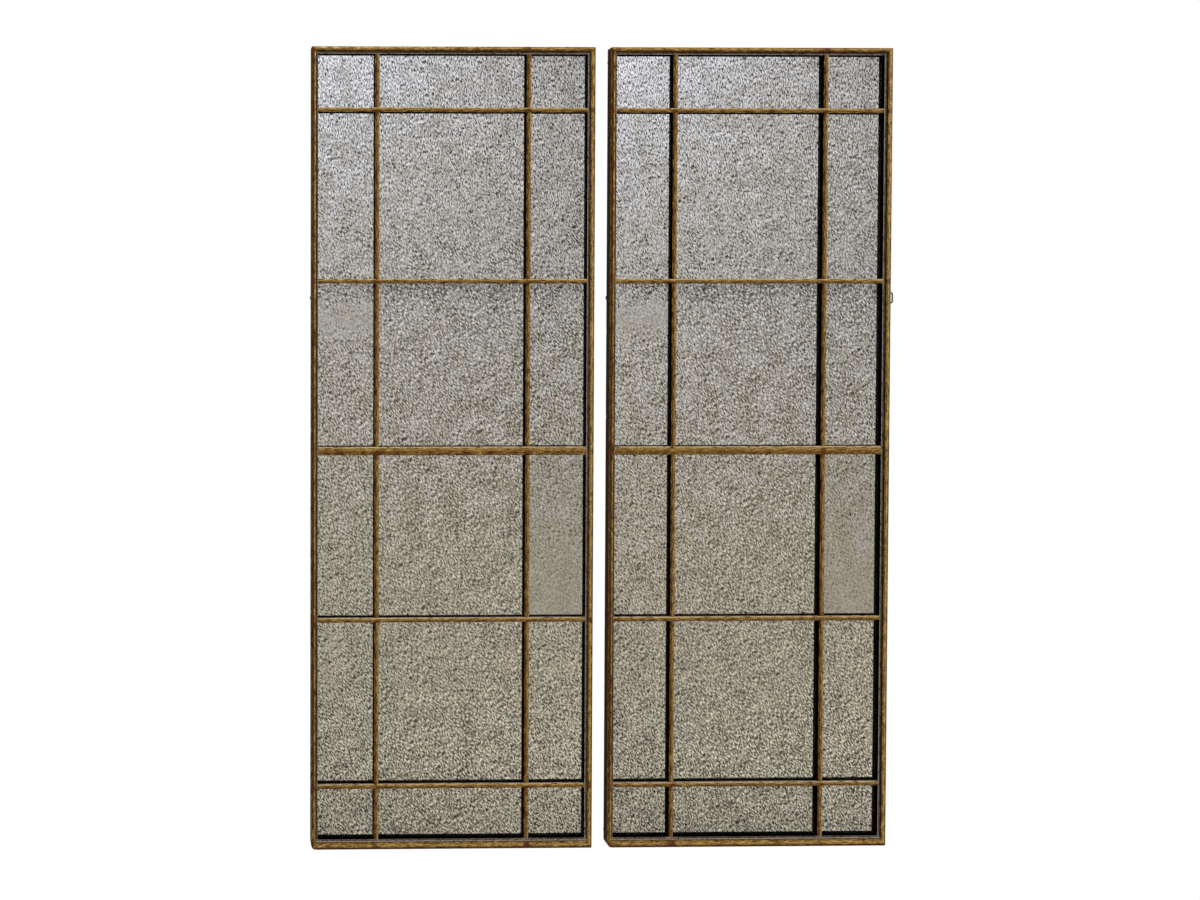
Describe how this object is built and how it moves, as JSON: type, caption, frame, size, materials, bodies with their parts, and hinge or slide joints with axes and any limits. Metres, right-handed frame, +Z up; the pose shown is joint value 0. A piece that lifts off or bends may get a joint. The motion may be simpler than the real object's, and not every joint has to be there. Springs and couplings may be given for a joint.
{
  "type": "shutter mirror",
  "caption": "Pair of tall wall mirrors in stepped gilded wooden frames, antiqued panes divided by slim halved bars like a glazed shutter, with swivelling ring hangers behind.",
  "frame": {"origin": "on the wall, midway between the two panels, level with the hanger screws", "axes": "+X to the viewer's right, +Y from the mirrors' fronts towards the wall, +Z up"},
  "size_m": [1.3274, 0.051, 1.803],
  "materials": {
    "gilt_wood": "aged gold leaf over a red-brown ground on wood, rubbed and darkened, bar sides painted black",
    "antique_mirror": "antiqued mirror with dense fine blue-grey foxing on a warm silver ground",
    "backing_board": "dark stained fibre board, matt",
    "black_steel": "black lacquered steel, satin",
    "zinc_steel": "zinc plated, slightly dull",
    "rubber": "matt black"
  },
  "bodies": {
    "root": {"left_panel_stile_left": "gilt_wood", "left_panel_stile_right": "gilt_wood", "left_panel_rail_top": "gilt_wood", "left_panel_rail_bottom": "gilt_wood", "left_panel_mullion_left": "gilt_wood", "left_panel_mullion_right": "gilt_wood", "left_panel_crossbar_1": "gilt_wood", "left_panel_crossbar_2": "gilt_wood", "left_panel_crossbar_3": "gilt_wood", "left_panel_crossbar_4": "gilt_wood", "left_panel_crossbar_5": "gilt_wood", "left_panel_glass_row_1": "antique_mirror", "left_panel_glass_row_2": "antique_mirror", "left_panel_glass_row_3": "antique_mirror", "left_panel_glass_row_4": "antique_mirror", "left_panel_glass_row_5": "antique_mirror", "left_panel_glass_row_6": "antique_mirror", "left_panel_backing_board": "backing_board", "left_panel_hanger_screw_left": "zinc_steel", "left_panel_hanger_screw_right": "zinc_steel", "left_panel_bumper_bottom_left": "rubber", "left_panel_bumper_bottom_right": "rubber", "left_panel_bumper_top_left": "rubber", "left_panel_bumper_top_right": "rubber", "right_panel_stile_left": "gilt_wood", "right_panel_stile_right": "gilt_wood", "right_panel_rail_top": "gilt_wood", "right_panel_rail_bottom": "gilt_wood", "right_panel_mullion_left": "gilt_wood", "right_panel_mullion_right": "gilt_wood", "right_panel_crossbar_1": "gilt_wood", "right_panel_crossbar_2": "gilt_wood", "right_panel_crossbar_3": "gilt_wood", "right_panel_crossbar_4": "gilt_wood", "right_panel_crossbar_5": "gilt_wood", "right_panel_glass_row_1": "antique_mirror", "right_panel_glass_row_2": "antique_mirror", "right_panel_glass_row_3": "antique_mirror", "right_panel_glass_row_4": "antique_mirror", "right_panel_glass_row_5": "antique_mirror", "right_panel_glass_row_6": "antique_mirror", "right_panel_backing_board": "backing_board", "right_panel_hanger_screw_left": "zinc_steel", "right_panel_hanger_screw_right": "zinc_steel", "right_panel_bumper_bottom_left": "rubber", "right_panel_bumper_bottom_right": "rubber", "right_panel_bumper_top_left": "rubber", "right_panel_bumper_top_right": "rubber"},
    "left_panel_hanger_plate_left": {"left_panel_hanger_plate_left": "black_steel"},
    "left_panel_hanger_ring_left": {"left_panel_hanger_ring_left": "black_steel"},
    "left_panel_hanger_plate_right": {"left_panel_hanger_plate_right": "black_steel"},
    "left_panel_hanger_ring_right": {"left_panel_hanger_ring_right": "black_steel"},
    "right_panel_hanger_plate_left": {"right_panel_hanger_plate_left": "black_steel"},
    "right_panel_hanger_ring_left": {"right_panel_hanger_ring_left": "black_steel"},
    "right_panel_hanger_plate_right": {"right_panel_hanger_plate_right": "black_steel"},
    "right_panel_hanger_ring_right": {"right_panel_hanger_ring_right": "black_steel"}
  },
  "joints": [
    {"name": "left_panel_hanger_swivel_left", "type": "hinge", "parent": "root", "child": "left_panel_hanger_plate_left", "pos_m": [-0.6475, -0.0067, 0], "axis": [0, 1, 0], "continuous": true},
    {"name": "left_panel_hanger_flap_left", "type": "hinge", "parent": "left_panel_hanger_plate_left", "child": "left_panel_hanger_ring_left", "pos_m": [-0.635, -0.0037, 0], "axis": [0, 0, 1], "range_deg": [0, 160]},
    {"name": "left_panel_hanger_swivel_right", "type": "hinge", "parent": "root", "child": "left_panel_hanger_plate_right", "pos_m": [-0.0225, -0.0067, 0], "axis": [0, 1, 0], "continuous": true},
    {"name": "left_panel_hanger_flap_right", "type": "hinge", "parent": "left_panel_hanger_plate_right", "child": "left_panel_hanger_ring_right", "pos_m": [-0.035, -0.0037, 0], "axis": [0, 0, -1], "range_deg": [0, 160]},
    {"name": "right_panel_hanger_swivel_left", "type": "hinge", "parent": "root", "child": "right_panel_hanger_plate_left", "pos_m": [0.0225, -0.0067, 0], "axis": [0, 1, 0], "continuous": true},
    {"name": "right_panel_hanger_flap_left", "type": "hinge", "parent": "right_panel_hanger_plate_left", "child": "right_panel_hanger_ring_left", "pos_m": [0.035, -0.0037, 0], "axis": [0, 0, 1], "range_deg": [0, 160]},
    {"name": "right_panel_hanger_swivel_right", "type": "hinge", "parent": "root", "child": "right_panel_hanger_plate_right", "pos_m": [0.6475, -0.0067, 0], "axis": [0, 1, 0], "continuous": true},
    {"name": "right_panel_hanger_flap_right", "type": "hinge", "parent": "right_panel_hanger_plate_right", "child": "right_panel_hanger_ring_right", "pos_m": [0.66, -0.0037, 0], "axis": [0, 0, 1], "range_deg": [0, 160]}
  ]
}
